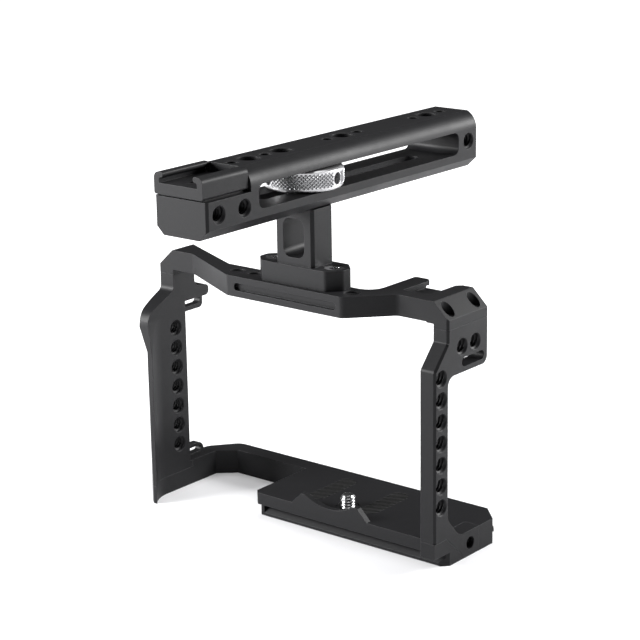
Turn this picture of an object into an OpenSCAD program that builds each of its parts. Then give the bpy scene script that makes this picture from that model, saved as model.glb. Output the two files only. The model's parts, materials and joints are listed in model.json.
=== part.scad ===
// Camera cage with a sliding top handle: an L-shaped base with a dovetail underside, two uprights,
// a top bar with a cold shoe, and a handle clamped to a post by a knurled wheel.
// The frame: X to the right seen from the front, Y to the rear, Z up. The origin is on the
// underside, below the lens axis, midway between the dovetail's flanks.

/* [Cage] */
// Clear width between the two uprights
inner_w = 137.2; // [132:0.2:146]
// Distance from the lens axis to the right upright's inner face
lens_to_right = 50; // [47:0.5:54]
// Height of the cage without its handle
cage_h = 107.2; // [105:0.2:120]
// Thickness of the top bar
bar_t = 8.5; // [8:0.1:10]
// Thickness of the right upright
leg_t = 6.9; // [6.6:0.1:8]
// Thickness of the grip side upright
grip_t = 7.4; // [7:0.1:8.4]
// Gap left at each seam between two cage parts
seam = 0.1; // [0.05:0.05:0.2]

/* [Base] */
// Full height of the base
base_t = 10.7; // [10.4:0.1:13]
// Height of the dovetail below the plate
dovetail_h = 5.7; // [5.2:0.1:6.2]
// Width of the dovetail across its flanges
dovetail_w = 38; // [37:0.1:39]
// Height of the dovetail's upright flange edge
flange_t = 1.5; // [1:0.1:2.2]
// How far the dovetail's neck is set in
neck_in = 2.1; // [1.5:0.1:2.6]
// How far the plate stands in front of the dovetail
front_over = 2; // [1:0.1:3]
// How far the base stands behind the dovetail
back_over = 2.9; // [1:0.1:5]
// Distance from the lens axis to the plate's left end
plate_left = 40.3; // [36:0.5:50]
// Depth of the rear strip
strip_d = 8.1; // [7:0.1:10]
// Size of the base's rear right corner chamfer
base_corner = 8.1; // [5:0.1:9]
// Height of the two horns above the plate
horn_h = 5; // [4:0.1:7]
// Distance between the tips of the two horns
horn_gap = 25; // [22:0.5:30]
// Thickness of the horn wall
horn_t = 2.6; // [2:0.1:3.2]

/* [Pads and camera screw] */
// Length of a rubber pad
pad_l = 27; // [20:0.5:27.5]
// Width of a rubber pad
pad_w = 8; // [6:0.1:8.6]
// Thickness of a rubber pad
pad_t = 1.2; // [1:0.1:1.6]
// How far a rubber pad stands above the plate
pad_proud = 0.3; // [0.1:0.1:0.5]
// Radius of the camera screw's thread
camera_r = 3.1; // [3:0.05:3.2]
// How far the camera screw stands above the plate
camera_out = 5; // [4:0.1:6]
// Radius of the camera screw's head
camera_head_r = 5.5; // [4.5:0.1:6]
// Height of the camera screw's head
camera_head_h = 3; // [2:0.1:3.4]
// Sideways place of the camera screw
camera_x = 1.5; // [-1:0.1:2]
// Distance of the camera screw in front of the dovetail's centre line
camera_lead = 10.2; // [9.5:0.1:10.4]

/* [Uprights] */
// Depth of the right leg from front to back
leg_d = 8.5; // [8:0.1:9.5]
// Depth of the right upright's head behind its leg
head_d = 26.2; // [25:0.1:30]
// Height of the right upright's head, down from the top of the cage
head_h = 29.3; // [28:0.1:31]
// Distance from the dovetail's centre line to the front of the right leg
leg_front = 25.9; // [24.5:0.1:28]
// Radius of the threaded mounting holes
thread_r = 3.175; // [3:0.025:3.3]
// Distance between neighbouring mounting holes
hole_pitch = 8.72; // [8:0.02:8.8]
// Number of mounting holes down each upright
hole_count = 7; // [3:1:7]
// Distance from the dovetail's centre line to the grip wall's front edge
grip_tip = 36; // [34:0.1:40]
// Depth of the grip side upright from front to back
grip_d = 26.8; // [24.5:0.1:29]
// Length of the strap slot in the right upright
strap_l = 15; // [12:0.1:16]
// Height of the strap slot in the right upright
strap_h = 3.8; // [3:0.1:3.9]

/* [Top bar] */
// How far the middle of the bar stands in front of the right leg
bar_forward = 7.5; // [6:0.1:9]
// Depth of the middle of the bar
bar_d = 14.3; // [14:0.1:16]
// Length of the long groove in the bar's front
groove_l = 52.3; // [40:0.1:54]
// Height of the long groove in the bar's front
groove_h = 3.2; // [2:0.1:4]
// Depth of the long groove in the bar's front
groove_d = 1.6; // [1:0.1:2.2]
// Width of a shoe's channel
shoe_w = 18.7; // [18.5:0.1:19]
// Clear gap between the lips of the bar's shoe
shoe_gap = 12.6; // [12.4:0.1:13]
// Height of a shoe's channel under its lips
shoe_h = 2.1; // [2:0.05:2.3]
// Thickness of the bar shoe's lips
lip_t = 1.7; // [1.4:0.1:1.9]

/* [Handle] */
// Length of the handle
handle_l = 169.5; // [166:0.5:180]
// Width of the handle
handle_w = 26; // [25:0.1:28]
// Height of the handle
handle_h = 23.6; // [23.2:0.1:26]
// Distance from the clamping stud to the handle's front end
handle_lead = 70.2; // [69:0.1:74]
// Clear gap between the lips of the handle's shoe
handle_shoe_gap = 15; // [13:0.1:15.4]
// Length of the handle's cold shoe
handle_shoe_l = 24; // [22:0.1:26]
// Distance from the lens axis to the handle's centre line
handle_off = 8.3; // [6:0.1:10]
// Height of the step that carries the handle's shoe
step_h = 14.6; // [14:0.1:15]
// Height of the long slot through the handle
slot_h = 9.5; // [9.5:0.1:9.8]
// Distance from the handle's shoe to the long slot
slot_margin = 4.7; // [4.5:0.1:7]
// Length of the handle's solid rear end behind the long slot
slot_tail = 12.8; // [11:0.1:16]
// Height of the handle's floor below the long slot
floor_t = 7.1; // [6.5:0.1:7.5]
// Distance between neighbouring holes of a locating group
group_pitch = 9.525; // [9.5:0.005:9.55]
// Radius of the small locating holes
small_r = 2.5; // [2:0.1:2.8]
// Radius of the large threaded holes
big_r = 4.7; // [4.5:0.01:4.8]

/* [Post and wheel] */
// Height from the top of the cage to the handle
post_rise = 31.5; // [31:0.5:45]
// Height of the foot block
foot_h = 8.1; // [7.6:0.1:9]
// Width of the foot's flat front
foot_flat_w = 32.4; // [31.6:0.2:36]
// Depth of the foot block
foot_d = 15; // [14.5:0.1:17]
// Width of the post
post_w = 19.3; // [17:0.1:20]
// Depth of the post
post_d = 13.1; // [12.5:0.1:14]
// Width of the window through the post
window_w = 10.6; // [8:0.1:11]
// Height of the window through the post
window_h = 15.7; // [12:0.1:16]
// Radius of the knurled wheel
wheel_r = 15.6; // [14.5:0.1:16.5]
// Thickness of the knurled wheel
wheel_t = 8.2; // [7:0.1:8.3]
// Radius of the clamping stud
stud_r = 3; // [2.5:0.1:3.1]
// Distance between the two foot screws
foot_screw_gap = 30; // [29:0.1:31]

/* [Screws] */
// Shank radius of the cage's assembly screws
screw_r = 1.5; // [1.25:0.05:1.6]
// Head radius of the cage's assembly screws
screw_head_r = 2.5; // [2.3:0.05:2.6]
// Head height of the cage's assembly screws
screw_head_h = 3; // [2.5:0.1:3.1]

/* [Hidden] */
$fn = 64;
// Overrun of every cut
over = 1;
// Steps in a rounded corner or a curled outline
arc_steps = 8;
// Radial play of a turning piece, and of a screw in its hole
run_play = 0.08;
screw_play = 0.04;
// Room round a screw head in its recess
head_play = 0.15;
// Gap between faces that slide past each other
slide_gap = 0.2;
// Depth of the countersink round a threaded hole
sink = 0.4;
// Width of the fine edge chamfers
edge = 0.9;
// Depth of a blind hole past the end of its screw
blind_room = 0.3;
// How far a screw head lies below the face round it
head_drop = 0.2;
// Hexagon sockets, as shares of the head's radius and height
socket_share = 0.52;
socket_depth_share = 0.6;

// Planes of the cage
right_in = lens_to_right;
right_out = right_in + leg_t;
left_in = right_in - inner_w;
left_out = left_in - grip_t;
right_mid = right_in + leg_t / 2;
left_mid = left_in - grip_t / 2;
dove_half = dovetail_w / 2;
base_front = -dove_half - front_over;
base_back = dove_half + back_over;
leg_y = -leg_front;
leg_back = leg_y + leg_d;
head_back = leg_back + head_d;
head_z = cage_h - head_h;

// Base: the plate, the strip behind the grip and the seat of each upright
plate_x = -plate_left;
plate_nip = 2.2;
dove_inset = 2.3;
dove_x = plate_x + dove_inset;
flange_nip = 3.2;
flange_edge = 0.5;
dove_end = 1.6;
strip_y = base_back - strip_d;
strip_round = 6;
strip_corner_x = 9.6;
strip_corner_y = 11.9;
inner_corner_x = 7.3;
inner_corner_y = 6.4;
seat_drop = 3;
seat_z = base_t - seat_drop;
lug_rise = 1.1;
lug_z = base_t + lug_rise;
lug_flat = 7.8;
slant_run = 10;
slant_low_z = 2.5;
foot_run = 12.4;
slant_front_y = leg_y + lug_flat;
slant_back_y = slant_front_y + slant_run;
foot_back_y = slant_back_y + foot_run;
foot_reach = 8;
foot_rise = 9;
foot_round = 6;
base_screw_y = (slant_back_y + foot_back_y) / 2;
base_screw_z = base_t / 2;
base_screw_l = 10;
base_screw_drop = 2.4;
quarter_x = -22;
quarter_r = 3.175;
three_eighths_x = 24;
three_eighths_r = 4.7625;
tripod_depth = 8;

// Horns: two low tips with a round scallop between them
horn_top = base_t + horn_h;
horn_land = 2;
horn_flank = 5;
horn_round = 1;
scallop_rise = 1.4;
scallop_half = horn_gap / 2;
scallop_depth = horn_h - scallop_rise;
scallop_r = (scallop_half * scallop_half + scallop_depth * scallop_depth) / (2 * scallop_depth);

// Pads and camera screw
pad_left_x = -15.5;
pad_right_x = 12;
pad_xs = [pad_left_x, pad_right_x];
pad_back = 14.5;
pad_mid_y = pad_back - pad_l / 2;
pad_ribs = 12;
rib_depth = 0.4;
rib_share = 0.5;
camera_y = -camera_lead;
camera_seat_z = camera_head_h + head_drop;
ring_t = 0.6;
ring_r = 4.6;
ring_neck_r = 2.6;
ring_z = base_t - head_drop - ring_t;
camera_slot_w = 1.6;
camera_slot_depth = 1.5;

// Grip side: its wall follows a hand, so it curls in and thins towards the front
grip_tip_in = 4.9;
grip_tip_t = 1.8;
grip_curl_lead = 24.5;
grip_curl_drop = 1.2;
grip_curl_fall = 29;
grip_swell_lead = 16;
grip_swell = 3.9;
grip_tip_out = grip_t + grip_tip_in - grip_tip_t;
grip_back_y = -grip_tip + grip_d;
grip_step = 1.6;
grip_seat_y = grip_back_y + grip_step;
grip_curl_z = head_z + grip_curl_drop;
ramp_rise = 5.1;
ramp_fall = 27;
ramp_top = head_z + ramp_rise;
shoulder_in = 3.4;
shoulder_rise = 4.1;
shoulder_z = head_z + shoulder_rise;
shoulder_round = 8;
finger_in = 3.4;
finger_round = 40;
// Wave of the front edge: height up from the seat, and depth
finger_shares = [[0.28, 0.26], [0.46, 0.15], [0.77, 0.82]];
neck_rise = 11.6;
neck_z = head_z + neck_rise;
neck_round = 3;
tab_rise = 5.4;
tab_h = 4.5;
tab_back_y = 5.9;
tab_round = 2;
tab_low_z = head_z + tab_rise;
loop_t = 3.5;
loop_fillet = 2.5;
loop_drop = 6.2;
loop_round = 2.2;
loop_low_z = tab_low_z - loop_drop;
loop_slot_l = 12.4;
loop_slot_h = 3.5;
loop_wall = 1.4;
loop_bar = 2;
low_loop_y = 3.7;
low_loop_h = 5.1;
low_loop_round = 3.5;
low_slot_l = 9.2;
low_slot_h = 2.7;
low_bar = 1;
grip_hole_lead = 15.4;
grip_hole_z = 20.5;
grip_screw_l = 10;
grip_screw_y = -19;
grip_screw_gap = 7.5;
grip_screw_ys = [grip_screw_y, grip_screw_y + grip_screw_gap];

// Top bar
bar_z = cage_h - bar_t;
joint_drop = 2.1;
joint_z = bar_z - joint_drop;
bar_corner = 6.7;
bar_front = leg_y - bar_forward;
bar_back = bar_front + bar_d;
bar_right_y = leg_back;
bar_left_y = -16;
bar_left_back = -2.8;
bar_left_run = 11.8;
bar_left_slant = 34.4;
bar_back_slant = 34.7;
bar_right_run = 17.1;
bar_right_slant = 15.1;
bar_round = 3;
shoe_in = 13.2;
shoe_mid_x = right_in - shoe_in;
shoe_block_w = 14.6;
block_round = 7;
block_corner_round = 1;
step_run = 3.4;
step_drop = 0.4;
groove_mid_x = -11.1;
bar_hole_y = (bar_front + bar_back) / 2 + edge;
bar_hole_left_x = -42.3;
bar_hole_gap = 9.3;
bar_hole_right_x = 16.9;
bar_hole_xs = [bar_hole_left_x, bar_hole_left_x + bar_hole_gap, bar_hole_right_x];
shoe_front_y = -10.3;
shoe_floor_z = cage_h - lip_t - shoe_h;
rail_nip = 2;
top_screw_l = 5.5;
top_seat_rise = 1.4;
top_seat_z = joint_z + top_seat_rise;
top_right_y = -13;
top_right_gap = 17;
top_right_ys = [top_right_y, top_right_y + top_right_gap];
top_grip_y = -12.6;
top_grip_gap = 6.4;
top_grip_ys = [top_grip_y, top_grip_y + top_grip_gap];

// Right upright
head_front_h = 15.8;
slant_h = 9.4;
leg_top_z = cage_h - head_front_h - slant_h;
leg_round = 2.5;
neck_corner_round = 1;
head_round = 3.2;
head_fillet = 4;
head_hole_drop = 18.9;
head_hole_z = cage_h - head_hole_drop;
head_hole_y = -8.1;
head_hole_gap = 8.8;
head_hole_ys = [head_hole_y, head_hole_y + head_hole_gap];
strap_mid_y = -0.8;
strap_rise = 2;
strap_low_z = head_z + strap_rise;
leg_hole_z = 26.2;

// Foot, post and stud
handle_x = -handle_off;
post_y = -23.5;
foot_end = 5;
foot_end_round = 2;
post_edge = 1.2;
window_drop = 4.4;
window_round = 3.4;
handle_z = cage_h + post_rise;
post_top = handle_z - slide_gap;
key_w = 12;
key_h = 2;
window_top = post_top - window_drop;
foot_screw_r = 2.5;
foot_head_r = 4;
foot_head_h = 3.4;
foot_screw_l = 11;
foot_seat_z = cage_h + foot_h - foot_head_h - head_drop;
set_screw_r = 1.2;
set_screw_z = (window_top + post_top) / 2;
slot_z = handle_z + floor_t;
washer_r = 9;
washer_t = 0.5;
washer_gap = 0.05;
washer_z = slot_z + washer_gap;
wheel_z = washer_z + washer_t + washer_gap;
wheel_edge = 0.6;
tommy_r = 2.4;
tommy_depth = 6;
tommy_count = 3;
tommy_turn = 8;

// Handle
handle_front = post_y - handle_lead;
handle_back = handle_front + handle_l;
handle_top = handle_z + handle_h;
handle_half = handle_w / 2;
handle_nip_w = 4.2;
handle_nip_h = 3.95;
handle_round = 7.7;
handle_crown = 0.6;
step_z = handle_z + step_h;
step_gap = 0.4;
step_wall = handle_front + handle_shoe_l + step_gap;
slot_round = 3;
slot_lead = handle_shoe_l + slot_margin;
slot_l = handle_l - slot_lead - slot_tail;
wheel_stop = 0.9;
travel_front = handle_lead - slot_lead - wheel_r - wheel_stop;
travel_back = slot_l - handle_lead + slot_lead - wheel_r - wheel_stop;
side_hole_rise = 9.2;
side_hole_z = handle_z + side_hole_rise;
side_hole_lead = 6.4;
side_hole_gap = 14.2;
side_hole_leads = [side_hole_lead, side_hole_lead + side_hole_gap];
side_hole_depth = 9.4;
rear_hole_z = slot_z + slot_h / 2;
rear_hole_lead = 5.7;
group_tail = 17.8;
first_group = slot_lead + group_pitch;
last_group = handle_l - group_tail;
group_leads = [first_group, (first_group + last_group) / 2, last_group];
small_depth = 4.5;
top_wall = handle_top - slot_z - slot_h;

// Handle shoe: a channel on a narrower foot, a little proud of the handle's front end
shoe_proud = 1;
shoe_foot_h = 0.9;
shoe_foot_in = 1.3;
shoe_half = 11.95;
shoe_low_z = step_z + shoe_foot_h;
shoe_base_t = 4.2;
shoe_z = shoe_low_z + shoe_base_t;
shoe_lip_t = 2.1;
shoe_top = shoe_z + shoe_h + shoe_lip_t;
shoe_out_round = 2.4;
shoe_in_round = 0.8;
shoe_tip_round = 0.9;
shoe_screw_lead = 7;
shoe_screw_gap = 10;
shoe_screw_leads = [shoe_screw_lead, shoe_screw_lead + shoe_screw_gap];
shoe_screw_l = 9;
shoe_seat_z = shoe_z - screw_head_h;

// Corner screw, in the dovetail's neck where the rear corner is chamfered
corner_screw_r = 1.2;
corner_head_h = 0.7;
corner_screw_l = 4;
corner_screw_z = base_t / 2;
corner_screw_y = (base_back - base_corner + dove_half - neck_in) / 2;

// Colours of the finishes
black = [0.13, 0.13, 0.14];
black_light = [0.2, 0.2, 0.21];
silver = [0.78, 0.78, 0.8];
rubber = [0.06, 0.06, 0.06];

function unit(v) = v / norm(v);
function flat(p) = [p[0], p[1]];
// Points of an outline's corner p = [x, y, radius] between its neighbours a and c
function corner(a, p, c) =
  p[2] == 0 ? [flat(p)] :
  let (
    ua = unit(flat(a) - flat(p)),
    uc = unit(flat(c) - flat(p)),
    half = acos(ua * uc) / 2,
    run = p[2] / tan(half),
    mid = flat(p) + unit(ua + uc) * p[2] / sin(half),
    from_mid = flat(p) + ua * run - mid,
    to_mid = flat(p) + uc * run - mid,
    sweep = 180 - 2 * half
  )
  [for (i = [0:arc_steps])
    let (s = i / arc_steps)
    mid + (from_mid * sin(sweep * (1 - s)) + to_mid * sin(sweep * s)) / sin(sweep)];
function rounded(pts) =
  let (n = len(pts))
  [for (i = [0:n - 1]) each corner(pts[(i + n - 1) % n], pts[i], pts[(i + 1) % n])];
// Radius of the arc that leaves straight and has moved sideways by dx after the run dy
function curl_radius(dx, dy) = (dx * dx + dy * dy) / (2 * dx);
// That arc's points, from [x, y] forward to the grip's front edge
function curl(x, y, dx) =
  let (r = curl_radius(dx, y + grip_tip), full = asin((y + grip_tip) / r))
  [for (i = [0:arc_steps])
    let (t = full * i / arc_steps)
    [x + r - r * cos(t), y - r * sin(t)]];
function reversed(list) = [for (i = [len(list) - 1:-1:0]) list[i]];
// A whole outline from its right half, which is given from the bottom up
function both_sides(pts) = concat(pts, [for (p = reversed(pts)) [-p[0], p[1], p[2]]]);

module outline(pts) {
  polygon(rounded(pts));
}
module along_x(x0, x1) {
  translate([x0, 0, 0])
    rotate([90, 0, 90])
      linear_extrude(x1 - x0)
        children();
}
module along_y(y0, y1) {
  translate([0, y1, 0])
    rotate([90, 0, 0])
      linear_extrude(y1 - y0)
        children();
}
module along_z(z0, z1) {
  translate([0, 0, z0])
    linear_extrude(z1 - z0)
      children();
}
// A flat shape w wide and h high with corners of radius r, centred
module rounded_box(w, h, r) {
  square([w - 2 * r, h], center = true);
  square([w, h - 2 * r], center = true);
  for (sx = [-1, 1], sy = [-1, 1])
    translate([sx * (w / 2 - r), sy * (h / 2 - r)])
      circle(r);
}
// A flat slot l long and w wide along the first axis, with round ends, centred
module round_slot(l, w) {
  square([l - w, w], center = true);
  for (s = [-1, 1])
    translate([s * (l - w) / 2, 0])
      circle(w / 2);
}
// A diamond that takes a 45 degree chamfer of the size c off a corner
module nip(c) {
  rotate(45)
    square(c * sqrt(2), center = true);
}
// The same diamond drawn along an edge that rises by dz as it moves by run, from the origin
module nip_up(c, run, dz) {
  rotate([-atan2(run, dz), 0, 0])
    linear_extrude(norm([run, dz]))
      nip(c);
}
// A threaded hole that goes down from the face at the origin
module tapped(r, depth) {
  translate([0, 0, -depth])
    cylinder(h = depth + over, r = r);
  translate([0, 0, -sink])
    cylinder(h = sink + over, r1 = r, r2 = r + sink + over);
}
// The same hole right through a wall of thickness t, with a countersink at both faces
module tapped_through(r, t) {
  tapped(r, t + over);
  translate([0, 0, -t])
    rotate([180, 0, 0])
      tapped(r, sink);
}
// A socket screw that points down, its head's seat at the origin
module socket_screw(r, head_r, head_h, bite) {
  difference() {
    union() {
      translate([0, 0, -bite])
        cylinder(h = bite + head_h / 2, r = r);
      cylinder(h = head_h, r = head_r);
    }
    translate([0, 0, head_h * (1 - socket_depth_share)])
      cylinder(h = head_h, r = head_r * socket_share, $fn = 6);
  }
}
// The bore for that screw's shank, and the recess for its head, which rises above the seat
module shank_hole(r, bite) {
  translate([0, 0, -bite - blind_room])
    cylinder(h = bite + blind_room + over, r = r + screw_play);
}
module head_hole(head_r, rise) {
  cylinder(h = rise, r = head_r + head_play);
}

// Places of the screws, each pointing down its own axis with the seat at the origin
module at_top_right(i) {
  translate([right_mid, top_right_ys[i], top_seat_z])
    children();
}
module at_top_grip(i) {
  translate([left_mid, top_grip_ys[i], top_seat_z])
    children();
}
module at_base_right() {
  translate([right_out - screw_head_h - base_screw_drop, base_screw_y, base_screw_z])
    rotate([0, 90, 0])
      children();
}
module at_base_grip(i) {
  translate([left_mid, grip_screw_ys[i], screw_head_h + head_drop])
    rotate([180, 0, 0])
      children();
}
module at_corner() {
  translate([right_out + base_back - base_corner - corner_screw_y, corner_screw_y, corner_screw_z])
    rotate([0, 90, 45])
      children();
}
module at_foot_screw(side) {
  translate([handle_x + side * foot_screw_gap / 2, post_y, foot_seat_z])
    children();
}
module at_shoe_screw(i) {
  translate([handle_x, handle_front + shoe_screw_leads[i], shoe_seat_z])
    children();
}
module assembly_screw(bite) {
  color(black_light)
    socket_screw(screw_r, screw_head_r, screw_head_h, bite);
}
module assembly_hole(bite) {
  shank_hole(screw_r, bite);
  head_hole(screw_head_r, cage_h);
}

// The right foot's room in the base, seen from the side; the foot itself keeps a gap inside it
module foot_room(gap) {
  polygon([
    [leg_y - over, lug_z + gap],
    [slant_front_y + gap, lug_z + gap],
    [slant_back_y + gap, slant_low_z + gap],
    [slant_back_y + gap, -over],
    [foot_back_y - gap, -over],
    [foot_back_y - gap, lug_z + over],
    [head_back + over, lug_z + over],
    [head_back + over, cage_h],
    [leg_y - over, cage_h]
  ]);
}
// Plan of the grip wall, thinned towards the front
module grip_plan() {
  polygon(concat(
    curl(left_out, -grip_swell_lead, grip_tip_out),
    reversed(curl(left_in, -grip_curl_lead, grip_tip_in)),
    [[left_in, -grip_swell_lead]]
  ));
}
module plate_plan() {
  polygon([
    [plate_x, base_front + plate_nip],
    [plate_x + plate_nip, base_front],
    [right_in, base_front],
    [right_in, leg_y],
    [right_out, leg_y],
    [right_out, base_back - base_corner],
    [right_out - base_corner, base_back],
    [plate_x, base_back]
  ]);
}
module strip_plan() {
  outline([
    [dove_x, base_back, 0],
    [left_out + strip_corner_x, base_back, strip_round],
    [left_out, base_back - strip_corner_y, strip_round],
    [left_out, -grip_swell_lead, 0],
    [left_in, -grip_swell_lead, 0],
    [left_in, strip_y - inner_corner_y, 0],
    [left_in + inner_corner_x, strip_y, 0],
    [dove_x, strip_y, 0]
  ]);
}
module dovetail_plan() {
  polygon([
    [dove_x, -dove_half],
    [right_out - flange_nip, -dove_half],
    [right_out, -dove_half + flange_nip],
    [right_out, base_back - base_corner],
    [right_out - base_corner, base_back],
    [dove_x, base_back]
  ]);
}
module dovetail_side() {
  outline(both_sides([
    [dove_half - flange_edge, 0, 0],
    [dove_half, flange_edge, 0],
    [dove_half, flange_t, 0],
    [dove_half - neck_in, flange_t + neck_in, 0],
    [dove_half - neck_in, dovetail_h, 0]
  ]));
}
module horns() {
  horn_half = horn_gap / 2 + horn_land;
  along_y(base_front, base_front + horn_t)
    difference() {
      outline(both_sides([
        [horn_half + horn_flank, base_t - over, 0],
        [horn_half + horn_flank, base_t, 0],
        [horn_half, horn_top, horn_round]
      ]));
      translate([0, base_t + scallop_rise + scallop_r])
        circle(scallop_r);
    }
}
module base_plate() {
  color(black)
    difference() {
      union() {
        along_z(dovetail_h, base_t)
          plate_plan();
        intersection() {
          union() {
            along_x(dove_x, right_out)
              dovetail_side();
            along_x(dove_x, dove_x + dove_end)
              translate([-dove_half, flange_edge])
                square([dovetail_w, dovetail_h - flange_edge]);
          }
          along_z(0, dovetail_h)
            dovetail_plan();
        }
        along_z(0, base_t)
          strip_plan();
        along_z(0, seat_z)
          grip_plan();
        along_x(right_in, right_out)
          translate([leg_y, dovetail_h])
            square([slant_back_y - leg_y, lug_z - dovetail_h]);
        horns();
      }
      along_x(right_in - seam, right_out + over)
        foot_room(0);
      translate([left_out - over, -grip_tip, seat_z])
        cube([grip_t + grip_tip_in + 2 * over, grip_seat_y + grip_tip, base_t]);
      at_base_right()
        assembly_hole(base_screw_l);
      for (i = [0, 1])
        at_base_grip(i)
          assembly_hole(grip_screw_l);
      at_corner()
        translate([0, 0, -corner_screw_l])
          cylinder(h = corner_screw_l + over, r = corner_screw_r + screw_play);
      for (x = pad_xs)
        translate([x, pad_mid_y, base_t + pad_proud - pad_t])
          linear_extrude(pad_t)
            rotate(90)
              round_slot(pad_l + 2 * screw_play, pad_w + 2 * screw_play);
      translate([camera_x, camera_y, 0]) {
        translate([0, 0, -over])
          cylinder(h = base_t + 2 * over, r = camera_r + run_play);
        translate([0, 0, -over])
          cylinder(h = camera_seat_z + run_play + over, r = camera_head_r + head_play);
        translate([0, 0, ring_z - run_play])
          cylinder(h = base_t, r = ring_r + head_play);
      }
      translate([quarter_x, 0, 0])
        rotate([180, 0, 0])
          tapped(quarter_r, tripod_depth);
      translate([three_eighths_x, 0, 0])
        rotate([180, 0, 0])
          tapped(three_eighths_r, tripod_depth);
    }
}

module right_side() {
  intersection() {
    outline([
      [leg_back, joint_z - seam, 0],
      [leg_back, cage_h - head_front_h, neck_corner_round],
      [leg_y, leg_top_z, leg_round],
      [leg_y, 0, 0],
      [foot_back_y - seam, 0, 0],
      [foot_back_y - seam, base_t, 0],
      [leg_back + foot_reach, base_t, foot_round],
      [leg_back, base_t + foot_rise, foot_round],
      [leg_back, head_z, head_fillet],
      [head_back, head_z, head_round],
      [head_back, joint_z - seam, 0]
    ]);
    foot_room(seam);
  }
}
module right_upright() {
  color(black)
    difference() {
      along_x(right_in, right_out)
        right_side();
      along_z(lug_z, leg_top_z)
        translate([right_out, leg_y])
          nip(edge);
      translate([right_out, leg_y, leg_top_z])
        nip_up(edge, leg_d, slant_h);
      along_z(leg_top_z + slant_h, cage_h)
        translate([right_out, leg_back])
          nip(edge);
      for (i = [0:hole_count - 1])
        translate([right_out, leg_y + leg_d / 2, leg_hole_z + i * hole_pitch])
          rotate([0, 90, 0])
            tapped_through(thread_r, leg_t);
      for (y = head_hole_ys)
        translate([right_out, y, head_hole_z])
          rotate([0, 90, 0])
            tapped_through(thread_r, leg_t);
      along_x(right_in - over, right_out + over)
        translate([strap_mid_y, strap_low_z + strap_h / 2])
          round_slot(strap_l, strap_h);
      for (i = [0, 1])
        at_top_right(i)
          shank_hole(screw_r, top_screw_l);
      at_base_right()
        assembly_hole(base_screw_l);
    }
}

module grip_side() {
  outline(concat(
    [
      [bar_left_y, joint_z - seam, 0],
      [bar_left_y, neck_z, neck_round],
      [-grip_tip + shoulder_in, shoulder_z, shoulder_round]
    ],
    [for (p = reversed(finger_shares))
      [-grip_tip + finger_in * p[1], seat_z + (shoulder_z - seat_z) * p[0], finger_round]],
    [
      [-grip_tip, seat_z + seam, 0],
      [grip_seat_y - seam, seat_z + seam, 0],
      [grip_seat_y - seam, base_t + seam, 0],
      [low_loop_y, base_t + seam, 0],
      [low_loop_y, base_t + low_loop_h, low_loop_round],
      [grip_back_y, base_t + low_loop_h, low_loop_round / 2],
      [grip_back_y, loop_low_z, loop_round / 2],
      [tab_back_y, loop_low_z, loop_round],
      [tab_back_y, tab_low_z + tab_h, tab_round],
      [bar_left_back, tab_low_z + tab_h + edge, neck_round],
      [bar_left_back, joint_z - seam, 0]
    ]
  ));
}
// Room behind the grip wall, inside its two strap loops
module loop_room() {
  outline([
    [left_out + loop_t, grip_back_y, loop_fillet],
    [left_in + over, grip_back_y, 0],
    [left_in + over, tab_back_y + over, 0],
    [left_out + loop_t, tab_back_y + over, 0]
  ]);
}
// Plan of what the outer face loses towards the front, dx deep at the front edge
module outer_loss(dx) {
  polygon(concat(
    curl(left_out, -grip_swell_lead, dx),
    [
      [left_out + dx, -grip_tip - over],
      [left_out - over, -grip_tip - over],
      [left_out - over, -grip_swell_lead]
    ]
  ));
}
module grip_upright() {
  color(black)
    difference() {
      intersection() {
        along_x(left_out - over, left_in + grip_tip_in + over)
          grip_side();
        along_z(0, cage_h)
          polygon(concat(
            [[left_in, tab_back_y + over], [left_out, tab_back_y + over], [left_out, -grip_tip]],
            reversed(curl(left_in, -grip_curl_lead, grip_tip_in))
          ));
      }
      along_y(-grip_tip - over, -grip_curl_lead + over)
        polygon([
          [left_in, cage_h],
          [left_in, grip_curl_z],
          [left_in + grip_tip_in, grip_curl_z - grip_curl_fall],
          [left_in + grip_tip_in + 2 * over, grip_curl_z - grip_curl_fall],
          [left_in + grip_tip_in + 2 * over, cage_h]
        ]);
      along_z(0, cage_h)
        outer_loss(grip_swell);
      intersection() {
        along_z(0, cage_h)
          outer_loss(grip_tip_out);
        along_y(-grip_tip - over, 0)
          polygon([
            [left_out - over, 0],
            [left_out - over, ramp_top],
            [left_out, ramp_top],
            [left_out + grip_tip_out + over, ramp_top - ramp_fall],
            [left_out + grip_tip_out + over, 0]
          ]);
      }
      for (i = [0:hole_count - 1])
        translate([left_in, -grip_hole_lead, grip_hole_z + i * hole_pitch])
          rotate([0, 90, 0])
            tapped_through(thread_r, grip_t);
      along_z(loop_low_z - over, tab_low_z)
        loop_room();
      along_x(left_out + loop_t, left_in + over)
        translate([tab_back_y - tab_round, tab_low_z + tab_round])
          difference() {
            translate([0, -tab_round - over])
              square(tab_round + over);
            circle(tab_round);
          }
      along_z(base_t + seam, base_t + low_loop_h + over)
        loop_room();
      along_x(left_out - over, left_in)
        translate([tab_back_y - loop_wall - loop_slot_l / 2, loop_low_z + loop_bar + loop_slot_h / 2])
          round_slot(loop_slot_l, loop_slot_h);
      along_x(left_out - over, left_in)
        translate([low_loop_y - loop_wall - low_slot_l / 2, base_t + low_bar + low_slot_h / 2])
          round_slot(low_slot_l, low_slot_h);
      for (i = [0, 1]) {
        at_top_grip(i)
          shank_hole(screw_r, top_screw_l);
        at_base_grip(i)
          shank_hole(screw_r, grip_screw_l);
      }
    }
}

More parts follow.
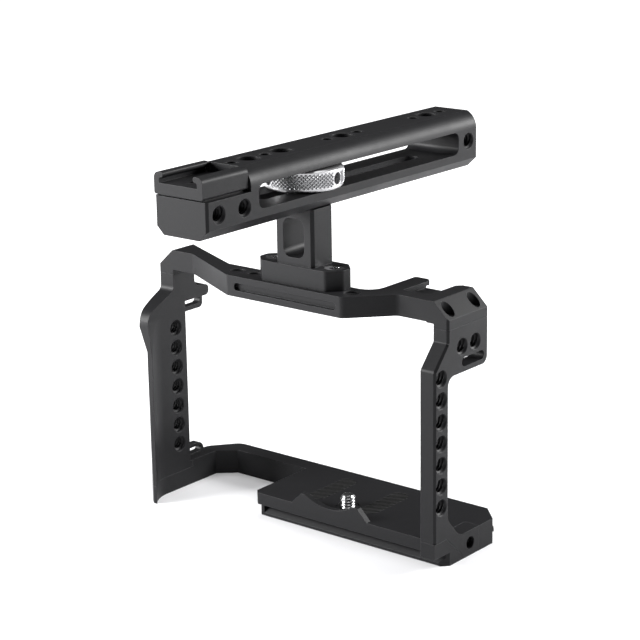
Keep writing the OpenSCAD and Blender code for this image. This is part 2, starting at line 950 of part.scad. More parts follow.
module bar_plan() {
  outline([
    [left_out, bar_left_y, 0],
    [left_in + bar_left_run, bar_left_y, bar_round],
    [left_in + bar_left_run + bar_left_slant, bar_front, bar_round],
    [right_in - bar_right_run - bar_right_slant, bar_front, bar_round],
    [right_in - bar_right_run, bar_right_y, bar_round],
    [right_out, bar_right_y, 0],
    [right_out, head_back, 0],
    [shoe_mid_x - shoe_block_w, head_back, block_corner_round],
    [shoe_mid_x - shoe_block_w, bar_back, block_round],
    [left_in + bar_back_slant, bar_back, bar_round],
    [left_in, bar_left_back, bar_round],
    [left_out, bar_left_back, 0]
  ]);
}
module bar_section() {
  polygon([
    [left_out, joint_z],
    [left_in, joint_z],
    [left_in, bar_z],
    [right_in - step_run, bar_z],
    [right_in - step_run, bar_z - step_drop],
    [right_in, bar_z - step_drop],
    [right_in, joint_z],
    [right_out, joint_z],
    [right_out, cage_h - bar_corner],
    [right_in, cage_h],
    [left_in, cage_h],
    [left_out, cage_h - bar_corner]
  ]);
}
module top_bar() {
  color(black)
    difference() {
      intersection() {
        along_z(joint_z, cage_h)
          bar_plan();
        along_y(bar_front, head_back)
          bar_section();
      }
      along_z(joint_z - over, cage_h)
        translate([right_out, bar_right_y])
          nip(edge);
      along_y(bar_front - over, bar_front + groove_d)
        translate([groove_mid_x, cage_h - bar_t / 2])
          round_slot(groove_l, groove_h);
      for (x = bar_hole_xs)
        translate([x, bar_hole_y, cage_h])
          tapped_through(thread_r, bar_t);
      along_z(shoe_floor_z, cage_h - lip_t)
        translate([shoe_mid_x - shoe_w / 2, shoe_front_y])
          square([shoe_w, head_back - shoe_front_y + over]);
      along_z(shoe_floor_z, cage_h + over)
        translate([shoe_mid_x - shoe_gap / 2, shoe_front_y])
          square([shoe_gap, head_back - shoe_front_y + over]);
      for (s = [-1, 1])
        along_z(shoe_floor_z, cage_h + over)
          translate([shoe_mid_x + s * shoe_gap / 2, head_back])
            nip(rail_nip);
      for (i = [0, 1]) {
        at_top_right(i)
          assembly_hole(top_screw_l);
        at_top_grip(i)
          assembly_hole(top_screw_l);
      }
      for (s = [-1, 1])
        at_foot_screw(s)
          shank_hole(foot_screw_r, foot_screw_l);
    }
}

module top_screw_right_front() {
  at_top_right(0)
    assembly_screw(top_screw_l);
}
module top_screw_right_rear() {
  at_top_right(1)
    assembly_screw(top_screw_l);
}
module top_screw_grip_front() {
  at_top_grip(0)
    assembly_screw(top_screw_l);
}
module top_screw_grip_rear() {
  at_top_grip(1)
    assembly_screw(top_screw_l);
}
module base_screw_right() {
  at_base_right()
    assembly_screw(base_screw_l);
}
module base_screw_grip_front() {
  at_base_grip(0)
    assembly_screw(grip_screw_l);
}
module base_screw_grip_rear() {
  at_base_grip(1)
    assembly_screw(grip_screw_l);
}
module corner_screw() {
  color(black_light)
    at_corner()
      translate([0, 0, -corner_screw_l])
        cylinder(h = corner_screw_l + corner_head_h, r = corner_screw_r);
}

module rubber_pad(x) {
  rib_pitch = pad_l / pad_ribs;
  color(rubber)
    translate([x, pad_mid_y, base_t + pad_proud - pad_t])
      difference() {
        linear_extrude(pad_t)
          rotate(90)
            round_slot(pad_l, pad_w);
        for (i = [-pad_ribs / 2:pad_ribs / 2])
          translate([0, i * rib_pitch, pad_t - rib_depth])
            linear_extrude(pad_t)
              rotate(45)
                square([2 * pad_w, rib_pitch * rib_share], center = true);
      }
}
module rubber_pad_left() {
  rubber_pad(pad_xs[0]);
}
module rubber_pad_right() {
  rubber_pad(pad_xs[1]);
}

module camera_screw() {
  color(silver)
    translate([camera_x, camera_y, 0])
      difference() {
        union() {
          translate([0, 0, head_drop])
            cylinder(h = camera_head_h, r = camera_head_r);
          translate([0, 0, camera_seat_z / 2])
            cylinder(h = base_t + camera_out - edge - camera_seat_z / 2, r = camera_r);
          translate([0, 0, base_t + camera_out - edge])
            cylinder(h = edge, r1 = camera_r, r2 = camera_r - edge);
        }
        difference() {
          translate([0, 0, ring_z - screw_play])
            cylinder(h = ring_t + 2 * screw_play, r = ring_r);
          translate([0, 0, ring_z - over])
            cylinder(h = ring_t + 2 * over, r = ring_neck_r);
        }
        translate([0, 0, head_drop])
          cube([3 * camera_head_r, camera_slot_w, 2 * camera_slot_depth], center = true);
      }
}
module camera_screw_ring() {
  color(silver)
    translate([camera_x, camera_y, ring_z])
      difference() {
        cylinder(h = ring_t, r = ring_r);
        translate([0, 0, -over])
          cylinder(h = ring_t + 2 * over, r = ring_neck_r + screw_play);
        translate([0, -ring_r, ring_t / 2])
          cube([ring_neck_r, 2 * ring_r, 2 * ring_t], center = true);
      }
}

module foot_plan() {
  outline(both_sides([
    [foot_flat_w / 2, -foot_d / 2, foot_end_round],
    [foot_flat_w / 2 + foot_end, -foot_d / 2 + foot_end, foot_end_round],
    [foot_flat_w / 2 + foot_end, foot_d / 2 - foot_end, foot_end_round],
    [foot_flat_w / 2, foot_d / 2, foot_end_round]
  ]));
}
module handle_foot() {
  color(black)
    difference() {
      translate([handle_x, post_y, 0]) {
        along_z(cage_h, cage_h + foot_h)
          foot_plan();
        along_z(cage_h, post_top)
          difference() {
            square([post_w, post_d], center = true);
            for (sx = [-1, 1], sy = [-1, 1])
              translate([sx * post_w / 2, sy * post_d / 2])
                nip(post_edge);
          }
        along_z(cage_h, post_top + key_h)
          square([key_w, post_d], center = true);
      }
      along_y(post_y - post_d, post_y + post_d)
        translate([handle_x, window_top - window_h / 2])
          rounded_box(window_w, window_h, window_round);
      for (s = [-1, 1])
        at_foot_screw(s) {
          shank_hole(foot_screw_r, foot_screw_l);
          head_hole(foot_head_r, foot_h);
        }
      translate([handle_x, post_y, window_top - over])
        cylinder(h = post_rise, r = stud_r + screw_play);
      translate([handle_x, post_y, set_screw_z])
        rotate([-90, 0, 0])
          cylinder(h = post_d, r = set_screw_r + screw_play);
    }
}
module foot_screw(side) {
  color(silver)
    at_foot_screw(side)
      socket_screw(foot_screw_r, foot_head_r, foot_head_h, foot_screw_l);
}
module foot_screw_left() {
  foot_screw(-1);
}
module foot_screw_right() {
  foot_screw(1);
}
module clamp_stud() {
  color(silver)
    translate([handle_x, post_y, window_top + slide_gap])
      cylinder(h = wheel_z + wheel_t - head_drop - window_top - slide_gap, r = stud_r);
}
module stud_set_screw() {
  color(black_light)
    translate([handle_x, post_y, set_screw_z])
      rotate([-90, 0, 0])
        difference() {
          translate([0, 0, stud_r + screw_play])
            cylinder(h = post_d / 2 - stud_r - head_drop - screw_play, r = set_screw_r);
          translate([0, 0, post_d / 2 - over])
            cylinder(h = 2 * over, r = set_screw_r * socket_share, $fn = 6);
        }
}
module wheel_washer() {
  color(silver)
    translate([handle_x, post_y, washer_z])
      difference() {
        cylinder(h = washer_t, r = washer_r);
        translate([0, 0, -over])
          cylinder(h = washer_t + 2 * over, r = stud_r + run_play);
      }
}
module lock_wheel() {
  color(silver)
    translate([handle_x, post_y, wheel_z])
      difference() {
        union() {
          cylinder(h = wheel_edge, r1 = wheel_r - wheel_edge, r2 = wheel_r);
          translate([0, 0, wheel_edge])
            cylinder(h = wheel_t - 2 * wheel_edge, r = wheel_r);
          translate([0, 0, wheel_t - wheel_edge])
            cylinder(h = wheel_edge, r1 = wheel_r, r2 = wheel_r - wheel_edge);
        }
        translate([0, 0, -over])
          cylinder(h = wheel_t + 2 * over, r = stud_r + run_play);
        for (i = [0:tommy_count - 1])
          rotate(tommy_turn + 360 * i / tommy_count)
            translate([wheel_r - tommy_depth, 0, wheel_t / 2])
              rotate([0, 90, 0])
                cylinder(h = tommy_depth + over, r = tommy_r);
      }
}

module handle_section() {
  intersection() {
    outline(both_sides([
      [handle_half - handle_nip_w, handle_z, 0],
      [handle_half, handle_z + handle_nip_h, 0],
      [handle_half, handle_top + handle_crown, handle_round]
    ]));
    translate([-handle_half, handle_z])
      square([handle_w, handle_h]);
  }
}
module handle_body() {
  stud_slot_w = 2 * stud_r + 2 * slide_gap;
  travel_mid_y = post_y + (travel_back - travel_front) / 2;
  travel = travel_front + travel_back;
  color(black)
    difference() {
      translate([handle_x, 0, 0])
        along_y(handle_front, handle_back)
          handle_section();
      along_z(step_z, handle_top + over)
        translate([handle_x - handle_w, handle_front - over])
          square([2 * handle_w, step_wall - handle_front + over]);
      for (s = [-1, 1])
        along_z(handle_z - over, step_z + over)
          translate([handle_x + s * handle_half, handle_front])
            nip(edge);
      along_x(handle_x - handle_w, handle_x + handle_w)
        translate([handle_front + slot_lead + slot_l / 2, slot_z + slot_h / 2])
          rounded_box(slot_l, slot_h, slot_round);
      along_z(handle_z - over, slot_z + over)
        translate([handle_x, travel_mid_y])
          rotate(90)
            round_slot(travel + stud_slot_w, stud_slot_w);
      along_z(handle_z - over, handle_z + key_h)
        translate([handle_x, travel_mid_y])
          square([key_w + 2 * slide_gap, travel + post_d + over], center = true);
      for (lead = side_hole_leads)
        translate([handle_x + handle_half, handle_front + lead, side_hole_z])
          rotate([0, 90, 0])
            tapped(thread_r, side_hole_depth);
      translate([handle_x + handle_half, handle_back - rear_hole_lead, rear_hole_z])
        rotate([0, 90, 0])
          tapped_through(thread_r, handle_w);
      for (lead = group_leads) {
        translate([handle_x, handle_front + lead, handle_top])
          tapped(big_r, top_wall + over);
        for (s = [-1, 1])
          translate([handle_x, handle_front + lead + s * group_pitch, handle_top])
            tapped(small_r, small_depth);
      }
      translate([handle_x, handle_front + first_group + 2 * group_pitch, handle_top])
        tapped(big_r, top_wall + over);
      for (i = [0, 1])
        at_shoe_screw(i)
          shank_hole(screw_r, shoe_screw_l);
    }
}
module shoe_section() {
  outline(both_sides([
    [shoe_half, shoe_low_z, edge],
    [shoe_half, shoe_top, shoe_out_round],
    [handle_shoe_gap / 2, shoe_top, shoe_tip_round],
    [handle_shoe_gap / 2, shoe_z + shoe_h, shoe_tip_round],
    [shoe_w / 2, shoe_z + shoe_h, shoe_in_round],
    [shoe_w / 2, shoe_z, 0]
  ]));
}
module handle_shoe() {
  foot_front = handle_front + shoe_foot_in;
  foot_half = shoe_half - shoe_foot_in;
  color(black)
    difference() {
      union() {
        translate([handle_x, 0, 0])
          along_y(handle_front - shoe_proud, handle_front + handle_shoe_l)
            shoe_section();
        along_z(step_z, shoe_low_z + edge)
          translate([handle_x - foot_half, foot_front])
            square([2 * foot_half, handle_shoe_l - shoe_foot_in]);
      }
      for (i = [0, 1])
        at_shoe_screw(i)
          assembly_hole(shoe_screw_l);
    }
}
module shoe_screw_front() {
  at_shoe_screw(0)
    assembly_screw(shoe_screw_l);
}
module shoe_screw_rear() {
  at_shoe_screw(1)
    assembly_screw(shoe_screw_l);
}

base_plate();
right_upright();
grip_upright();
top_bar();
top_screw_right_front();
top_screw_right_rear();
top_screw_grip_front();
top_screw_grip_rear();
base_screw_right();
base_screw_grip_front();
base_screw_grip_rear();
corner_screw();
rubber_pad_left();
rubber_pad_right();
camera_screw();
camera_screw_ring();
handle_foot();
foot_screw_left();
foot_screw_right();
clamp_stud();
stud_set_screw();
wheel_washer();
lock_wheel();
handle_body();
handle_shoe();
shoe_screw_front();
shoe_screw_rear();
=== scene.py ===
import json
import math

import bmesh
import bpy
from mathutils import Matrix, Vector

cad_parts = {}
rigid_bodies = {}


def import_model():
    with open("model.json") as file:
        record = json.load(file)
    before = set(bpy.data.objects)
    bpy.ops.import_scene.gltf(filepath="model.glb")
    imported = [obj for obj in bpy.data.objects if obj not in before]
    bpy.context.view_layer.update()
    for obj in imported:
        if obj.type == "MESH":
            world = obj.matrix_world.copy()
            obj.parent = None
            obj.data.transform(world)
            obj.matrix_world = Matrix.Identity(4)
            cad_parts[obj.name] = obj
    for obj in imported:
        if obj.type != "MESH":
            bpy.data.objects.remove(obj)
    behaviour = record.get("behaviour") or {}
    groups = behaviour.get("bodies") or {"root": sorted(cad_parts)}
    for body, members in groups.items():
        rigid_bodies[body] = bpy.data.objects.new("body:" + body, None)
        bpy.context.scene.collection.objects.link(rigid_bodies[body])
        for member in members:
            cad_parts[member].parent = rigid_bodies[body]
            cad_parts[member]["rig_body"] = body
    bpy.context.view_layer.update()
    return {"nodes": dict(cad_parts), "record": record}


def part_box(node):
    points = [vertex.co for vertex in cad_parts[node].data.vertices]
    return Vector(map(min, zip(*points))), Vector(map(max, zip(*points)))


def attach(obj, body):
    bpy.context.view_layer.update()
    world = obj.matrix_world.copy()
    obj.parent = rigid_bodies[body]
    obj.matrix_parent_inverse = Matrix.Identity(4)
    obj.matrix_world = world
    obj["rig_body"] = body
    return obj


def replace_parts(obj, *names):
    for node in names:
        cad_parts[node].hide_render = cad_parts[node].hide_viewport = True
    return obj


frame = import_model()
nodes = frame["nodes"]
scene = bpy.context.scene
MM = 0.001
FULL_TURN = 2 * math.pi

# Camera: fitted to the photograph's vertical and level edges, its place in millimetres
CAMERA_PLACE = (480.44, -612.05, 309.17)
CAMERA_YAW, CAMERA_PITCH, CAMERA_ROLL = 39.28, 15.891, -0.863
LENS, SENSOR_WIDTH = 112.394, 36
CLIP_START, CLIP_END = 0.01, 50

yaw, pitch, roll = (math.radians(angle) for angle in (CAMERA_YAW, CAMERA_PITCH, CAMERA_ROLL))
view = Vector((-math.sin(yaw) * math.cos(pitch), math.cos(yaw) * math.cos(pitch), -math.sin(pitch)))
right = Vector((math.cos(yaw), math.sin(yaw), 0))
up = right.cross(view)
right, up = right * math.cos(roll) + up * math.sin(roll), up * math.cos(roll) - right * math.sin(roll)
camera = bpy.data.objects.new("camera", bpy.data.cameras.new("camera"))
scene.collection.objects.link(camera)
camera.data.sensor_width = SENSOR_WIDTH
camera.data.lens = LENS
camera.data.clip_start = CLIP_START
camera.data.clip_end = CLIP_END
camera.matrix_world = Matrix.Translation(Vector(CAMERA_PLACE) * MM) @ Matrix(
    (right, up, -view)).transposed().to_4x4()
scene.camera = camera

# Finishes: what all metals share. The range of the rubbed edges, which are partly real wear and partly a
# painted edge highlight, is of the cosine between the rounded and the true normal
NOISE_ROUGHNESS = 0.6
FINE_DETAIL = 3
BROAD_SCALE, BROAD_DETAIL = 60, 4
BEVEL_SAMPLES = 6
RUB_HIGHLIGHT_START, RUB_HIGHLIGHT_FULL = 0.995, 0.93
PATCH_START, PATCH_FULL, PATCH_LEAST = 0.35, 0.6, 0.4
TONE_START, TONE_FULL, TONE_CHANGE = 0.3, 0.7, 0.15
GLOSS_START, GLOSS_FULL, GLOSS_CHANGE = 0.25, 0.75, 0.05
BUMP_STRENGTH = 0.4
EDGE_RADIUS, KNURL_EDGE_RADIUS = 0.22, 0.05


def node_material(name):
    """A new material and its node tree's nodes and links, with only the output and the surface shader."""
    mat = bpy.data.materials.new(name)
    mat.use_nodes = True
    return mat, mat.node_tree.nodes, mat.node_tree.links


def add(tree, kind, inputs=(), **settings):
    """A new node of this kind, with these settings and input values."""
    node = tree.new(kind)
    for key, value in settings.items():
        setattr(node, key, value)
    for key, value in inputs:
        node.inputs[key].default_value = value
    return node


def map_range(tree, start, full, low=0, high=1, **settings):
    """A node that maps the range from start to full onto the range from low to high."""
    return add(tree, "ShaderNodeMapRange", [("From Min", start), ("From Max", full), ("To Min", low),
                                            ("To Max", high)], **settings)


def colour_ramp(tree, stops):
    """A colour ramp with two stops, each a place and a colour."""
    node = tree.new("ShaderNodeValToRGB")
    for element, (place, colour) in zip(node.color_ramp.elements, stops):
        element.position = place
        element.color = (*colour, 1)
    return node


def metal(name, colour, worn_and_highlit, metallic, rough, spec, grain, grain_depth, wear_and_highlight, streak=(1, 1, 1),
          radius=EDGE_RADIUS):
    """Metal with a blasted or turned grain, slight changes of colour and roughness, and paler edges that are
    partly rubbed wear and partly a painted edge highlight.
    """
    mat, tree, links = node_material(name)
    shader = tree["Principled BSDF"]
    shader.inputs["Metallic"].default_value = metallic
    shader.inputs["Specular IOR Level"].default_value = spec
    place = add(tree, "ShaderNodeTexCoord")
    stretch = add(tree, "ShaderNodeMapping", [("Scale", streak)])
    fine = add(tree, "ShaderNodeTexNoise",
               [("Scale", grain), ("Detail", FINE_DETAIL), ("Roughness", NOISE_ROUGHNESS)])
    broad = add(tree, "ShaderNodeTexNoise",
                [("Scale", BROAD_SCALE), ("Detail", BROAD_DETAIL), ("Roughness", NOISE_ROUGHNESS)])
    links.new(place.outputs["Object"], stretch.inputs["Vector"])
    links.new(stretch.outputs["Vector"], fine.inputs["Vector"])
    links.new(place.outputs["Object"], broad.inputs["Vector"])
    # The rounded normal leaves the true one near an edge, and that is where the finish is rubbed and where a
    # paler edge highlight is painted
    soft = add(tree, "ShaderNodeBevel", [("Radius", radius * MM)], samples=BEVEL_SAMPLES)
    true = add(tree, "ShaderNodeNewGeometry")
    along = add(tree, "ShaderNodeVectorMath", operation="DOT_PRODUCT")
    links.new(soft.outputs["Normal"], along.inputs[0])
    links.new(true.outputs["Normal"], along.inputs[1])
    rubbed_and_highlit = map_range(tree, RUB_HIGHLIGHT_START, RUB_HIGHLIGHT_FULL)
    links.new(along.outputs["Value"], rubbed_and_highlit.inputs["Value"])
    patches = map_range(tree, PATCH_START, PATCH_FULL, PATCH_LEAST * wear_and_highlight, wear_and_highlight)
    links.new(broad.outputs["Fac"], patches.inputs["Value"])
    amount = add(tree, "ShaderNodeMath", operation="MULTIPLY")
    links.new(rubbed_and_highlit.outputs["Result"], amount.inputs[0])
    links.new(patches.outputs["Result"], amount.inputs[1])
    tone = colour_ramp(tree, [(TONE_START, [c * (1 - TONE_CHANGE) for c in colour]),
                              (TONE_FULL, [c * (1 + TONE_CHANGE) for c in colour])])
    links.new(fine.outputs["Fac"], tone.inputs["Fac"])
    # This mix paints the paler edges: partly rubbed wear, partly a painted edge highlight
    mix = add(tree, "ShaderNodeMix", data_type="RGBA")
    mix.inputs["B"].default_value = (*worn_and_highlit, 1)
    links.new(amount.outputs["Value"], mix.inputs["Factor"])
    links.new(tone.outputs["Color"], mix.inputs["A"])
    links.new(mix.outputs["Result"], shader.inputs["Base Color"])
    gloss = map_range(tree, GLOSS_START, GLOSS_FULL, rough - GLOSS_CHANGE, rough + GLOSS_CHANGE)
    links.new(broad.outputs["Fac"], gloss.inputs["Value"])
    links.new(gloss.outputs["Result"], shader.inputs["Roughness"])
    bump = add(tree, "ShaderNodeBump", [("Strength", BUMP_STRENGTH), ("Distance", grain_depth)])
    links.new(fine.outputs["Fac"], bump.inputs["Height"])
    links.new(soft.outputs["Normal"], bump.inputs["Normal"])
    links.new(bump.outputs["Normal"], shader.inputs["Normal"])
    return mat


# Each finish's paler edge colour is partly rubbed wear and partly a painted edge highlight
FINISH = {
    "anodised_black": metal(
        "anodised_black", colour=(0.011, 0.011, 0.012), worn_and_highlit=(0.075, 0.075, 0.08), metallic=0, rough=0.47,
        spec=0.18, grain=2600, grain_depth=0.00004, wear_and_highlight=0.6),
    "screw_black": metal(
        "screw_black", colour=(0.014, 0.014, 0.015), worn_and_highlit=(0.12, 0.12, 0.12), metallic=0.3, rough=0.36,
        spec=0.3, grain=3000, grain_depth=0.00002, wear_and_highlight=0.5),
    "steel": metal(
        "steel", colour=(0.45, 0.45, 0.46), worn_and_highlit=(0.75, 0.75, 0.76), metallic=1, rough=0.26,
        spec=0.5, grain=1800, grain_depth=0.00001, wear_and_highlight=0.6, streak=(1, 1, 8)),
    "wheel_silver": metal(
        "wheel_silver", colour=(0.5, 0.5, 0.51), worn_and_highlit=(0.85, 0.85, 0.85), metallic=0.9, rough=0.32,
        spec=0.5, grain=2200, grain_depth=0.00001, wear_and_highlight=0.6, streak=(1, 1, 6)),
    "wheel_knurl": metal(
        "wheel_knurl", colour=(0.3, 0.3, 0.31), worn_and_highlit=(0.85, 0.85, 0.85), metallic=0.6, rough=0.3,
        spec=0.5, grain=2200, grain_depth=0.00001, wear_and_highlight=0.6, streak=(1, 1, 6), radius=KNURL_EDGE_RADIUS),
    "pad_rubber": metal(
        "pad_rubber", colour=(0.022, 0.022, 0.022), worn_and_highlit=(0.08, 0.08, 0.08), metallic=0, rough=0.6,
        spec=0.36, grain=4000, grain_depth=0.00005, wear_and_highlight=0.5),
}

# Meshes: an edge that turns more than this stays sharp, and points nearer than this are joined
SHARP = math.radians(28)
JOIN = 1e-6
FACE_WEIGHT = 80


def piece(name, bm, body, slot, smooth=True, finish=None):
    """An object for this mesh that rides on the body, smooth up to its sharp edges, with the slot's finish."""
    for face in bm.faces:
        face.smooth = smooth
    for edge in bm.edges:
        edge.smooth = len(edge.link_faces) == 2 and edge.calc_face_angle(math.pi) < SHARP
    mesh = bpy.data.meshes.new(name)
    bm.to_mesh(mesh)
    bm.free()
    obj = bpy.data.objects.new(name, mesh)
    scene.collection.objects.link(obj)
    mesh.materials.append(FINISH[finish or slot])
    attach(obj, body)
    return obj


def dressed(node, slot):
    """A copy of a CAD node with its fillets and bores shaded smooth, in the node's place."""
    bm = bmesh.new()
    bm.from_mesh(nodes[node].data)
    bmesh.ops.remove_doubles(bm, verts=bm.verts, dist=JOIN)
    obj = piece(node + "_dressed", bm, body_of[node], slot)
    normals = obj.modifiers.new("normals", "WEIGHTED_NORMAL")
    normals.keep_sharp = True
    normals.weight = FACE_WEIGHT
    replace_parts(obj, node)


def grid(bm, rows, closed=False):
    """Faces between rows of points of the same length; a closed row joins its end to its start."""
    made = [[bm.verts.new(p) for p in row] for row in rows]
    for low, high in zip(made, made[1:]):
        count = len(low)
        for i in range(count if closed else count - 1):
            j = (i + 1) % count
            bm.faces.new((low[i], low[j], high[j], high[i]))
    return made


def frame_on(centre, axis):
    """The matrix that takes the Z axis to this axis and the origin to this centre, in millimetres to metres."""
    turn = Vector(axis).normalized().to_track_quat("Z", "Y").to_matrix().to_4x4()
    return Matrix.Translation(Vector(centre) * MM) @ turn @ Matrix.Scale(MM, 4)


# Threads: shares of the pitch, how far a ridge's foot lies in the wall, and steps of a turn
RIDGE_DEPTH, RIDGE_CREST, RIDGE_FOOT = 0.55, 0.06, 0.46
RIDGE_BURIED = 0.03
RIDGE_STEPS, SCREW_STEPS = 28, 36
RIDGE_FADES = 4


def helix(bm, place, low, high, root, crest, pitch, steps=RIDGE_STEPS):
    """A thread's ridge round the place's Z axis, from the root to the crest radius, fading in at both ends."""
    turns = (high - low) / pitch
    count = max(int(turns * steps), RIDGE_FADES)
    rows = []
    for i in range(count + 1):
        t = FULL_TURN * turns * i / count
        z = low + (high - low) * i / count
        fade = min(1, RIDGE_FADES * i / steps, RIDGE_FADES * (count - i) / steps)
        tip = root + (crest - root) * fade
        rows.append([place @ Vector((r * math.cos(t), r * math.sin(t), z + rise * pitch)) for r, rise in (
            (root, -RIDGE_FOOT), (tip, -RIDGE_CREST), (tip, RIDGE_CREST), (root, RIDGE_FOOT))])
    grid(bm, rows)


def threads(name, node, holes):
    """Ridges inside a node's tapped holes, each given as centre, axis, length, radius and pitch."""
    bm = bmesh.new()
    for centre, axis, length, radius, pitch in holes:
        helix(bm, frame_on(centre, axis), -length / 2, length / 2, radius + RIDGE_BURIED,
              radius - RIDGE_DEPTH * pitch, pitch)
    bmesh.ops.recalc_face_normals(bm, faces=bm.faces)
    piece(name, bm, body_of[node], "anodised_black")


def lathe(bm, place, profile, steps=64):
    """A turned solid round the place's Z axis from a profile of radius and height, closed at both ends."""
    rows = [[place @ Vector((r * math.cos(FULL_TURN * i / steps), r * math.sin(FULL_TURN * i / steps), z))
             for i in range(steps)] for r, z in profile]
    made = grid(bm, rows, closed=True)
    bm.faces.new(made[0])
    bm.faces.new(made[-1])


body_of = {node: nodes[node]["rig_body"] for node in nodes}
slot_of = {part["node"]: part["material_slot"] for part in frame["record"]["subparts"]}
slot_of["camera_screw_ring"] = "screw_black"
for node in nodes:
    if node != "camera_screw":
        dressed(node, slot_of[node])

# Tapped holes, in millimetres: the radius and pitch of the small ones with 20 threads to the inch and of the
# large ones with 16, and then each group's places, direction and ridge length
X, Z = (1, 0, 0), (0, 0, 1)
SMALL = (3.175, 1.27)
LARGE = (4.7, 1.5875)
HANDLE_X = -8.3
ROW_COUNT, ROW_PITCH = 7, 8.72
HOLES = [
    ("right_leg_threads", "right_upright", X, 5.3, SMALL,
     [(53.45, -21.65, 26.2 + ROW_PITCH * i) for i in range(ROW_COUNT)]),
    ("head_threads", "right_upright", X, 5.3, SMALL,
     [(53.45, y, 88.3) for y in (-8.1, 0.7)]),
    ("grip_threads", "grip_upright", X, 5.8, SMALL,
     [(-90.9, -15.4, 20.5 + ROW_PITCH * i) for i in range(ROW_COUNT)]),
    ("bar_threads", "top_bar", Z, 7.0, SMALL,
     [(x, -25.35, 102.95) for x in (-42.3, -33.0, 16.9)]),
    ("handle_side_threads", "handle_body", X, 7.8, SMALL,
     [(HANDLE_X + 8.2, y, 147.9) for y in (-87.3, -73.1)]
     + [(HANDLE_X + dx, 70.1, 150.55) for dx in (-8.2, 8.2)]),
    ("handle_top_threads", "handle_body", Z, 3.9, LARGE,
     [(HANDLE_X, y, 158) for y in (-55.475, -36.425, 1.26, 58.0)]),
]
for name, node, axis, length, size, places in HOLES:
    threads(name, node, [(centre, axis, length, *size) for centre in places])

# Camera screw: a head in the base, and a threaded end above the plate, as radius and height
CAMERA_SCREW_PLACE = (1.5, -10.2, 0)
SCREW_CORE, SCREW_ROOT, SCREW_CREST = 2.62, 2.6, 3.09
SCREW_HEAD = [(0.01, 0.2), (5.2, 0.2), (5.5, 0.5), (5.5, 2.9), (5.2, 3.2), (SCREW_CORE, 3.2)]
SCREW_TIP = [(SCREW_CORE, -0.9), (2.4, -0.35), (2.1, -0.05), (1.9, 0), (0.01, 0)]
THREAD_START, THREAD_SHORT = 6.2, 0.7
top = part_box("camera_screw")[1][2] / MM
bm = bmesh.new()
place = frame_on(CAMERA_SCREW_PLACE, Z)
lathe(bm, place, SCREW_HEAD + [(r, top + dz) for r, dz in SCREW_TIP])
helix(bm, place, THREAD_START, top - THREAD_SHORT, SCREW_ROOT, SCREW_CREST, SMALL[1], SCREW_STEPS)
bmesh.ops.recalc_face_normals(bm, faces=bm.faces)
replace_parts(piece("camera_screw_threaded", bm, body_of["camera_screw"], "steel"), "camera_screw")

# Diamond knurl on the wheel's rim, between the smooth lands round the bar holes
WHEEL_PLACE = (HANDLE_X, -23.5, 0)
BAR_HOLES, FIRST_HOLE, LAND = 3, 8, math.radians(8.5)
DIAMONDS, DIAMOND_H, DIAMOND_DEPTH, RIM = 58, 1.5, 0.7, 15.5
ACROSS_STEPS, DOWN_STEPS = 10, 36
KNURL_EDGE, END_FADE, SIDE_FADE = 0.75, 6, 4
wheel_low, wheel_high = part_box("lock_wheel")
low, high = wheel_low[2] / MM + KNURL_EDGE, wheel_high[2] / MM - KNURL_EDGE
bm = bmesh.new()
place = Matrix.Translation(Vector(WHEEL_PLACE) * MM) @ Matrix.Scale(MM, 4)
span = FULL_TURN / BAR_HOLES - 2 * LAND
across = int(DIAMONDS * ACROSS_STEPS * span / FULL_TURN)
for k in range(BAR_HOLES):
    start = math.radians(FIRST_HOLE) + FULL_TURN * k / BAR_HOLES + LAND
    rows = []
    for j in range(DOWN_STEPS + 1):
        z = low + (high - low) * j / DOWN_STEPS
        row = []
        for i in range(across + 1):
            t = start + span * i / across
            turn, rise = t * DIAMONDS / FULL_TURN, (z - low) / DIAMOND_H
            crest = min(1 - abs(2 * (way % 1) - 1) for way in (turn + rise, turn - rise))
            fade = min(1, END_FADE * j / DOWN_STEPS, END_FADE * (DOWN_STEPS - j) / DOWN_STEPS,
                       i / SIDE_FADE, (across - i) / SIDE_FADE)
            r = RIM + DIAMOND_DEPTH * crest * fade
            row.append(place @ Vector((r * math.cos(t), r * math.sin(t), z)))
        rows.append(row)
    grid(bm, rows)
bmesh.ops.recalc_face_normals(bm, faces=bm.faces)
piece("wheel_knurl", bm, body_of["lock_wheel"], "wheel_silver", smooth=False, finish="wheel_knurl")

# Floor: it shows white to camera, glossy and transmission rays away from the part, and keeps the shadow; near
# the part its glow is dimmed, a painted shade that deepens the shadow there and darkens the floor's reflection
# in the part
FLOOR_SIZE = 12
FLOOR_COLOUR = (0.8, 0.8, 0.815, 1)
GLOW_START, GLOW_FULL, GLOW_SHADED_NEAR, GLOW_HIGH = 0.12, 0.65, 0.16, 1.0
bpy.ops.mesh.primitive_plane_add(size=FLOOR_SIZE)
floor = bpy.context.object
floor.name = "floor"
mat, tree, links = node_material("floor")
tree.remove(tree["Principled BSDF"])
path = add(tree, "ShaderNodeLightPath")
seen = add(tree, "ShaderNodeMath", operation="MAXIMUM")
links.new(path.outputs["Is Camera Ray"], seen.inputs[0])
links.new(path.outputs["Is Glossy Ray"], seen.inputs[1])
seen_too = add(tree, "ShaderNodeMath", operation="MAXIMUM")
links.new(seen.outputs["Value"], seen_too.inputs[0])
links.new(path.outputs["Is Transmission Ray"], seen_too.inputs[1])
ground = add(tree, "ShaderNodeTexCoord")
far = add(tree, "ShaderNodeVectorMath", operation="LENGTH")
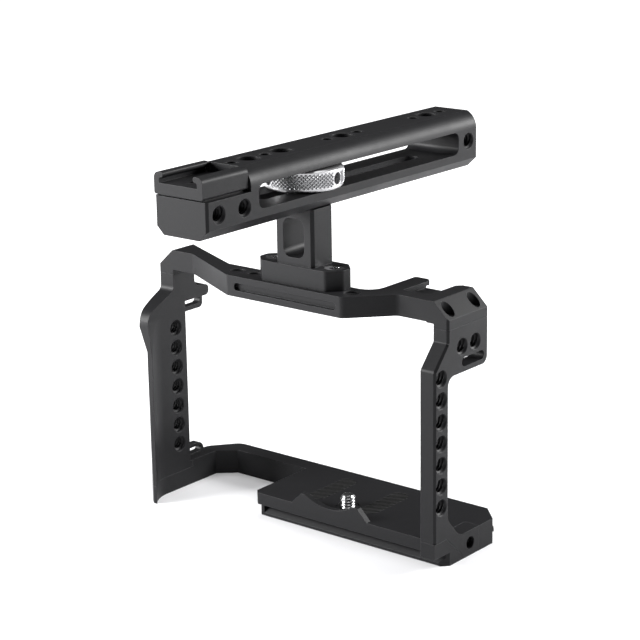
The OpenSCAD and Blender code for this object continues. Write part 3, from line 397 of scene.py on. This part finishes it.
links.new(ground.outputs["Object"], far.inputs[0])
# The glow fades towards the part: painted shade on the floor round it and in its reflection
fade = map_range(tree, GLOW_START, GLOW_FULL, GLOW_SHADED_NEAR, GLOW_HIGH, interpolation_type="SMOOTHSTEP")
links.new(far.outputs["Value"], fade.inputs["Value"])
strength = add(tree, "ShaderNodeMath", operation="MULTIPLY")
links.new(seen_too.outputs["Value"], strength.inputs[0])
links.new(fade.outputs["Result"], strength.inputs[1])
glow = add(tree, "ShaderNodeEmission")
links.new(strength.outputs["Value"], glow.inputs["Strength"])
diffuse = add(tree, "ShaderNodeBsdfDiffuse", [("Color", FLOOR_COLOUR)])
total = add(tree, "ShaderNodeAddShader")
links.new(glow.outputs["Emission"], total.inputs[0])
links.new(diffuse.outputs["BSDF"], total.inputs[1])
links.new(total.outputs["Shader"], tree["Material Output"].inputs["Surface"])
floor.data.materials.append(mat)

# Light: a dim world and three rectangular lamps, in metres and watts
WORLD_STRENGTH = 0.06
SIDE_SIZE, TOP_SIZE = (0.40, 0.24), (1.2, 1.0)
SIDE_TARGET, TOP_TARGET = (-0.02, -0.02, 0.15), (-0.02, 0, 0.05)
world = bpy.data.worlds.new("world")
world.use_nodes = True
scene.world = world
background = world.node_tree.nodes["Background"]
background.inputs["Color"].default_value = (1, 1, 1, 1)
background.inputs["Strength"].default_value = WORLD_STRENGTH


def lamp(name, place, target, size, power):
    """A rectangular lamp at this place, turned to the target."""
    data = bpy.data.lights.new(name, "AREA")
    data.shape = "RECTANGLE"
    data.size, data.size_y = size
    data.energy = power
    obj = bpy.data.objects.new(name, data)
    scene.collection.objects.link(obj)
    obj.location = place
    obj.rotation_mode = "QUATERNION"
    obj.rotation_quaternion = (Vector(target) - Vector(place)).to_track_quat("-Z", "Y")


lamp("front_left", (-0.52, -0.52, 0.32), SIDE_TARGET, SIDE_SIZE, power=12)
lamp("right_rear", (0.44, 0.54, 0.36), SIDE_TARGET, SIDE_SIZE, power=8.5)
lamp("top", (0.0, 0.1, 1.1), TOP_TARGET, TOP_SIZE, power=8)

scene.view_settings.view_transform = "Standard"
